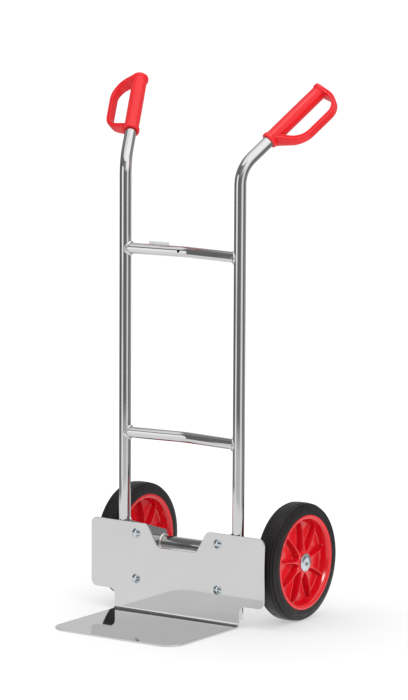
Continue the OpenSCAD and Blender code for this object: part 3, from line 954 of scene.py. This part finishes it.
def make_rim(side, name, node, body):
    """Moulded rim: lips, a dished wall, a closed web, a hub and the ribs on each face."""
    w = WHEEL_W
    web = (w - 6 * MM) / 2
    fillet = 4 * MM
    face = arc(BARREL_R - 4.4 * MM - fillet, web - fillet, fillet, 90, 0, 6)
    face += offsets(BARREL_R, [(-3.6, 15.5), (-2.7, 12), (-1.8, 8.8), (-1, 6.4), (-0.2, 4.3)])
    face += offsets(BARREL_R, [(0.9, 2.6), (2.4, 1.2), (4.2, 0.35), (6, 0)])
    face += offsets(RIM_R, [(-1.2, 0), (-0.3, 0.3), (0, 1)])
    hub = offsets(BUSH_R, [(0, 3)]) + offsets(HUB_R, [(-1.4, 3), (-0.4, 3.5), (0, 4.5)])
    hub += [(HUB_R + 0.8 * MM, web - 1 * MM - fillet)]
    hub += arc(HUB_R + 0.8 * MM + fillet, web - fillet, fillet, 180, 90, 6)
    half = hub + face + [(RIM_R, SEAT_DEPTH), (SEAT_R, SEAT_DEPTH)]
    profile = half + [(a, w - b) for a, b in reversed(half)]
    parts = [lathe(profile, 144)]
    for i in range(RIB_COUNT):
        verts, faces = rib_mesh(2 * math.pi * i / RIB_COUNT - RIB_TURN, web)
        parts.append((verts, faces))
        parts.append(([(x, y, w - z) for x, y, z in verts], [f[::-1] for f in faces]))
    verts, faces = join_parts(parts)
    rim = add_mesh(name, verts, faces, RIM_RED, wheel_matrix(side), sharp=38)
    fix_normals(rim)
    rim.visible_diffuse = False  # no red glow on the white floor
    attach(rim, body)
    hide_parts(node)


def make_caps():
    """Pressed cap with a rolled rim, a shallow dome and a centre dimple."""
    outer = offsets(0, [(0, -0.15), (2.2, -0.1), (3.6, -0.9), (5, -1.7), (7, -2), (11, -1.85)])
    outer += offsets(0, [(14, -1.3), (15.6, -0.5), (16.4, 0.1), (17.2, 0)])
    outer += offsets(CAP_R, [(-0.5, 0.2), (0, 0.9), (-0.2, 2.2), (-0.9, 2.4)])
    inner = [(ROD_R, CAP_LIP), (ROD_R, CAP_INSIDE), (0, CAP_INSIDE)]
    verts, faces = lathe(outer + inner, 72, closed=False)
    for side, word in SIDES:
        cap = add_mesh(f"axle_cap_{word}", verts, faces, CAP_ZINC, wheel_matrix(side), sharp=60)
        fix_normals(cap)
        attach(cap, "frame")
        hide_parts("axle_caps")


# ---------------- grips

def between(start, stop, t):
    return (start[0] + (stop[0] - start[0]) * t, start[1] + (stop[1] - start[1]) * t)


def guard_path():
    """The middle line of the guard's band: (reach, height along the handle)."""
    root = 9 * MM  # where the band starts and ends, in the grip
    slant = math.tan(GUARD_SLANT)
    slant_y = GRIP_START + GUARD_T / 2 * (1 / math.cos(GUARD_SLANT) - 1)
    arc_x = GUARD_REACH - GUARD_LOW_R
    arc_y = slant_y + arc_x * slant + GUARD_LOW_R / math.cos(GUARD_SLANT)
    low = arc(arc_x, arc_y, GUARD_LOW_R, math.degrees(GUARD_SLANT) - 90, 0, 18)
    high = arc(GUARD_REACH - GUARD_HIGH_R, GRIP_END - GUARD_HIGH_R, GUARD_HIGH_R, 0, 90, 18)
    path = [between((root, slant_y + root * slant), low[0], i / 10) for i in range(10)]
    path += low
    path += [between(low[-1], high[0], i / 8) for i in range(1, 8)]
    path += high
    path += [between(high[-1], (root, GRIP_END), i / 6) for i in range(1, 7)]
    return path


def band_section(half_w, half_t):
    """Cross-section of the band: rounded lips with a groove along each edge face."""
    lip = 1.5 * MM
    groove = 1.25 * MM
    deep = 1.7 * MM
    quarter = [(half_w - deep, 0), (half_w - deep, groove * 0.55),
               (half_w - deep * 0.6, groove * 0.95), (half_w - 0.35 * MM, groove * 1.15),
               (half_w, groove * 1.15 + 0.45 * MM),
               (half_w, half_t - lip), (half_w - lip * 0.3, half_t - lip * 0.3),
               (half_w - lip, half_t), (half_w * 0.5, half_t + 0.25 * MM), (0, half_t + 0.3 * MM)]
    upper = quarter + [(-a, b) for a, b in reversed(quarter[:-1])]
    return upper + [(a, -b) for a, b in reversed(upper[1:-1])]


def make_grip(side, name, node):
    """A grip with a flange at each end and a guard band that swells into the flanges."""
    low, high = GRIP_START - GUARD_T / 2, GRIP_END + GUARD_T / 2
    collar = GUARD_COLLAR_R
    flange = offsets(collar, [(-1.8, 0), (-0.5, 0.5), (0, 1.8), (0, 7.6), (-0.5, 8.9), (-1.6, 9.6)])
    flange += offsets(GRIP_R, [(0.5, 10.4), (0.1, 12)])
    flange_h = 12 * MM
    swell = 0.25 * MM
    steps = 12
    profile = [(RAIL_R + 0.05 * MM, low + 0.6 * MM), (RAIL_R + 0.6 * MM, low)]
    profile += [(r, low + z) for r, z in flange]
    for i in range(1, steps):
        t = i / steps
        profile.append((GRIP_R + swell * math.sin(math.pi * t),
                        low + flange_h + (high - low - 2 * flange_h) * t))
    profile += [(r, high - z) for r, z in reversed(flange)]
    profile += [(r, high - z) for r, z in offsets(collar, [(-5, 0), (-6, 0.6)])]
    profile += [(r, high - z) for r, z in offsets(0, [(4, 0.9), (0, 0.9)])]
    body = lathe(profile, 64, closed=False)
    path = guard_path()
    rings = []
    far = GUARD_REACH + GUARD_T
    root = collar * 0.97  # the band's half width at the collars
    for i, (x, y) in enumerate(path):
        before, after = path[max(i - 1, 0)], path[min(i + 1, len(path) - 1)]
        ahead = Vector((after[0] - before[0], after[1] - before[1])).normalized()
        normal = Vector((ahead.y, -ahead.x))
        share = min(max(x / far, 0), 1)
        half_w = root + (GUARD_W / 2 - root) * share ** 0.9
        ring = []
        for across, out in band_section(half_w, GUARD_T / 2):
            ring.append((x + normal.x * out, across, y + normal.y * out))
        rings.append(ring)
    band_verts, band_faces = loft(rings, caps=True)
    turn = Matrix.Rotation(GUARD_TURN - math.pi / 2, 4, "Z")
    band = ([tuple(turn @ Vector(v)) for v in band_verts], band_faces)
    verts, faces = join_parts([body, band])
    obj = add_mesh(name, verts, faces, GRIP_RED, handle_matrix(side), sharp=48)
    fix_normals(obj)
    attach(obj, "frame")
    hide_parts(node)


# ---------------- build

make_plate()
make_bolts()
make_rail(-1, "rail_left", "left_rail")
make_rail(1, "rail_right", "right_rail")
make_cross_tube(CROSS_Z[0], "cross_tube_low", "lower_cross_tube", 0)
make_cross_tube(CROSS_Z[1], "cross_tube_high", "upper_cross_tube", VENT_R)
make_axle_tube()
make_cross_welds()
make_bracket_welds()
make_axle_welds()
for truck_side, side_word in SIDES:
    make_tyre(truck_side, f"tyre_{side_word}", f"{side_word}_tyre", f"{side_word}_wheel")
    make_rim(truck_side, f"rim_{side_word}", f"{side_word}_rim", f"{side_word}_wheel")
    make_grip(truck_side, f"grip_{side_word}", f"{side_word}_grip")
make_caps()

paint(BRACKET_CHROME, "left_bracket", "right_bracket")
paint(BOLT_ZINC, "plate_washers", "plate_nuts", "inner_washers", "axle_rod")
paint(TAB_LACQUER, "type_plate")
paint(NYLON, "left_bush", "right_bush")
for softened, edge_width in (("left_bracket", 0.6), ("right_bracket", 0.6), ("plate_nuts", 0.5),
                             ("plate_washers", 0.3), ("type_plate", 0.2), ("inner_washers", 0.3)):
    soften_edges(softened, edge_width * MM)


# ---------------- studio
# The shiny parts mirror a round room that nothing else sees. Its angles are in degrees and run
# to the right from the camera's side. At a brightness of 1 it looks white.

WALL_R = 2.7
WALL_H = 3.2
DISC_R = 2.75
CEILING_Z = 3.18
LEFT_CARD_R = 1.6
LOW_CARD_R = 0.7
PAINTED_SHADE_REACH = 0.9  # how far the floor's painted shade reaches from the truck; beyond it the floor is at full brightness
HALF = 0.5  # keeps colours under 1; the glow doubles them

WALL_STOPS = [(-180, 0.75), (-166, 0.75), (-156, 0.15), (-92, 0.17), (-60, 0.22), (-10, 0.2),
              (14, 0.22), (24, 0.5), (31, 1.1), (54, 1.1), (61, 0.45), (70, 0.2), (94, 0.2),
              (104, 0.5), (140, 0.5), (150, 0.15), (168, 0.75), (180, 0.75)]
HIGH_STOPS = [(-180, 0.45), (-150, 0.45), (-140, 0.3), (-90, 0.2), (-75, 0.2), (-20, 0.3),
              (5, 0.8), (15, 1.4), (60, 1.4), (75, 0.5), (110, 0.3), (145, 0.3), (180, 0.45)]
FLOOR_STOPS = [(-180, 0.9), (-160, 0.3), (-77, 0.25), (-70, 1.15), (-50, 1.15), (-42, 0.74),
               (24, 0.74), (33, 1.1), (54, 1.1), (63, 0.6), (80, 0.28), (160, 0.3), (180, 0.9)]


def glow(name):
    """A material that only glows. Returns it, its node tree and its light's inputs."""
    material = bpy.data.materials.new(name)
    material.use_nodes = True
    material.cycles.emission_sampling = "NONE"
    tree = material.node_tree
    tree.nodes.clear()
    light = tree.nodes.new("ShaderNodeEmission")
    out = tree.nodes.new("ShaderNodeOutputMaterial")
    tree.links.new(light.outputs[0], out.inputs["Surface"])
    return material, tree, light.inputs


def seen_in_gloss_only(obj, turn=CAMERA_AZIMUTH):
    """The room is seen in reflections alone: it lights nothing and hides nothing."""
    obj.visible_camera = False
    obj.visible_diffuse = False
    obj.visible_transmission = False
    obj.visible_volume_scatter = False
    obj.visible_shadow = False
    obj.rotation_euler.z = turn


def wrap(name, radius, from_deg, to_deg, high, material):
    """A curved wall round the truck, standing on the floor."""
    steps = max(int(abs(to_deg - from_deg) / 4), 2)
    verts = []
    for x, y in arc(0, 0, radius, from_deg, to_deg, steps):
        verts += [(x, y, 0), (x, y, high)]
    faces = [[2 * i, 2 * i + 2, 2 * i + 3, 2 * i + 1] for i in range(steps)]
    seen_in_gloss_only(add_mesh(name, verts, faces, material))


def disc(name, z, material, turn):
    steps = 64
    verts = [(x, y, z) for x, y in arc(0, 0, DISC_R, 0, 360, steps)[:-1]]
    seen_in_gloss_only(add_mesh(name, verts, [list(range(steps))], material), turn)


def half_grey(brightness):
    return (brightness * HALF,) * 3


def ramp_over_angle(tree, angle, stops):
    """A colour ramp over the angle round the truck, from (degrees, brightness) stops."""
    ramp = tree.nodes.new("ShaderNodeValToRGB")
    ramp.color_ramp.interpolation = "EASE"
    tree.links.new(map_range(tree, angle, -math.pi, math.pi, 0, 1), ramp.inputs["Fac"])
    elements = ramp.color_ramp.elements
    elements.remove(elements[1])
    for i, (degrees, brightness) in enumerate(stops):
        position = (degrees + 180) / 360
        element = elements[0] if i == 0 else elements.new(position)
        element.position = position
        element.color = (*half_grey(brightness), 1)
    return ramp.outputs["Color"]


def object_coords(tree):
    """Sockets of the object coordinates, the angle round z and the distance from the origin."""
    coords = tree.nodes.new("ShaderNodeTexCoord").outputs["Object"]
    split = tree.nodes.new("ShaderNodeSeparateXYZ")
    tree.links.new(coords, split.inputs[0])
    angle = tree.nodes.new("ShaderNodeMath")
    angle.operation = "ARCTAN2"
    tree.links.new(split.outputs["Y"], angle.inputs[0])
    tree.links.new(split.outputs["X"], angle.inputs[1])
    length = tree.nodes.new("ShaderNodeVectorMath")
    length.operation = "LENGTH"
    tree.links.new(coords, length.inputs[0])
    return {"X": split.outputs["X"], "Z": split.outputs["Z"], "angle": angle.outputs[0],
            "length": length.outputs["Value"]}


def make_room():
    """Bright and dark soft-edged bands round the truck, a ceiling that is darker to the left,
    a floor that darkens away from it, a bright card to the left and a dim one at the right."""
    material, tree, light = glow("room_wall_glow")
    at = object_coords(tree)
    level = map_range(tree, at["Z"], 1.2, 1.8, 0, 1, smooth=True)
    colour = mix_colours(tree, level, ramp_over_angle(tree, at["angle"], WALL_STOPS),
                         ramp_over_angle(tree, at["angle"], HIGH_STOPS))
    tree.links.new(colour, light["Color"])
    light["Strength"].default_value = 1 / HALF
    wrap("room_wall", WALL_R, -180, 180, WALL_H, material)

    material, tree, light = glow("room_ceiling_glow")
    at = object_coords(tree)
    near = map_range(tree, at["X"], -2.05, -1.6, 0.22, 1.1, smooth=True)
    far = map_range(tree, at["X"], -0.8, 0.2, 0, 0.3, smooth=True)
    tree.links.new(add_sockets(tree, near, far), light["Strength"])
    disc("room_ceiling", CEILING_Z, material, 0)

    material, tree, light = glow("room_floor_glow")
    at = object_coords(tree)
    striped = map_range(tree, at["length"], 1.3, 1.5, 0, 1, smooth=True)
    stripes = mix_colours(tree, striped, half_grey(1.05),
                          ramp_over_angle(tree, at["angle"], FLOOR_STOPS))
    walled = map_range(tree, at["length"], 2.0, DISC_R, 0, 1, smooth=True)
    colour = mix_colours(tree, walled, stripes, ramp_over_angle(tree, at["angle"], WALL_STOPS))
    tree.links.new(colour, light["Color"])
    light["Strength"].default_value = 1 / HALF
    disc("room_floor", 2 * MM, material, CAMERA_AZIMUTH)

    material, tree, light = glow("left_card_glow")
    at = object_coords(tree)
    foot = map_range(tree, at["Z"], 0.33, 0.36, 1.17, 1.03, smooth=True)
    rise = map_range(tree, at["Z"], 0.45, 0.6, 0, 0.32, smooth=True)
    tree.links.new(add_sockets(tree, foot, rise), light["Strength"])
    wrap("left_card", LEFT_CARD_R, -77, -46, 1.45, material)
    wrap("left_card_foot", LEFT_CARD_R, -78.5, -77, 0.4, material)

    material, tree, light = glow("low_card_glow")
    light["Strength"].default_value = 0.28
    wrap("low_card", LOW_CARD_R, 106, 142, 0.2, material)


def area_light(name, place, aim, size, energy, in_gloss=False):
    """A square lamp that lights the truck, unseen by the camera."""
    light = bpy.data.lights.new(name, "AREA")
    light.shape = "SQUARE"
    light.size = size
    light.energy = energy
    obj = bpy.data.objects.new(name, light)
    bpy.context.collection.objects.link(obj)
    obj.location = place
    obj.rotation_euler = (Vector(aim) - obj.location).to_track_quat("-Z", "Y").to_euler()
    obj.visible_camera = False
    obj.visible_glossy = in_gloss
    return obj


def glint(word, place, aim, size, energy):
    """A lamp that is only mirrored, and only in the pieces whose names hold the word."""
    lamp = area_light(word + "_glint", place, aim, size, energy, in_gloss=True)
    lamp.visible_diffuse = False
    receivers = bpy.data.collections.new(word + "_glint_receivers")
    for obj in bpy.data.objects:
        if obj.type == "MESH" and word in obj.name:
            receivers.objects.link(obj)
    lamp.light_linking.receiver_collection = receivers


def make_floor():
    """A matt white floor with painted shade near the truck. It glows, which keeps shadows soft."""
    white = bpy.data.materials.new("floor_white")
    reach = 150
    corners = [(x * reach, y * reach, 0) for x, y in ((-1, -1), (1, -1), (1, 1), (-1, 1))]
    floor = add_mesh("floor", corners, [[0, 1, 2, 3]], white)
    # the floor's painted shade is centred here, by the truck
    floor.location = (0.22, -0.05, 0)
    white.use_nodes = True
    white.cycles.emission_sampling = "NONE"
    tree = white.node_tree
    inputs = tree.nodes["Principled BSDF"].inputs
    at = object_coords(tree)
    # painted shade: the floor's colour and glow are lower near the truck, standing in for its soft
    # shadow
    tone = map_range(tree, at["length"], 0, PAINTED_SHADE_REACH, 0.395, 0.465, smooth=True)
    painted_glow = map_range(tree, at["length"], 0, PAINTED_SHADE_REACH, 0.445, 0.525, smooth=True)
    tree.links.new(tone, inputs["Base Color"])
    tree.links.new(painted_glow, inputs["Emission Strength"])
    inputs["Emission Color"].default_value = (1, 1, 1, 1)
    inputs["Roughness"].default_value = 0.9
    inputs["Specular IOR Level"].default_value = 0.0


def make_studio():
    make_floor()
    make_room()

    world = bpy.data.worlds.new("world")
    bpy.context.scene.world = world
    world.use_nodes = True
    back = world.node_tree.nodes["Background"]
    back.inputs["Color"].default_value = (1, 1, 1, 1)
    back.inputs["Strength"].default_value = 1.12

    area_light("key", (-1.45, -1.15, 2.95), (0, 0, 0.4), 0.9, 11)
    area_light("fill", (2.9, -1.6, 1.9), (0.1, 0, 0.3), 1.6, 34)
    glint("rim", (0.45, -1.95, 2.15), (0.24, 0.12, 0.12), 1.1, 80)
    glint("grip", (0.35, -0.4, 3.0), (0.0, 0.1, 1.0), 0.9, 8)

    scene = bpy.context.scene
    scene.view_settings.view_transform = "Standard"
    scene.view_settings.look = "None"
    scene.view_settings.exposure = 0
    scene.view_settings.gamma = 1


make_studio()
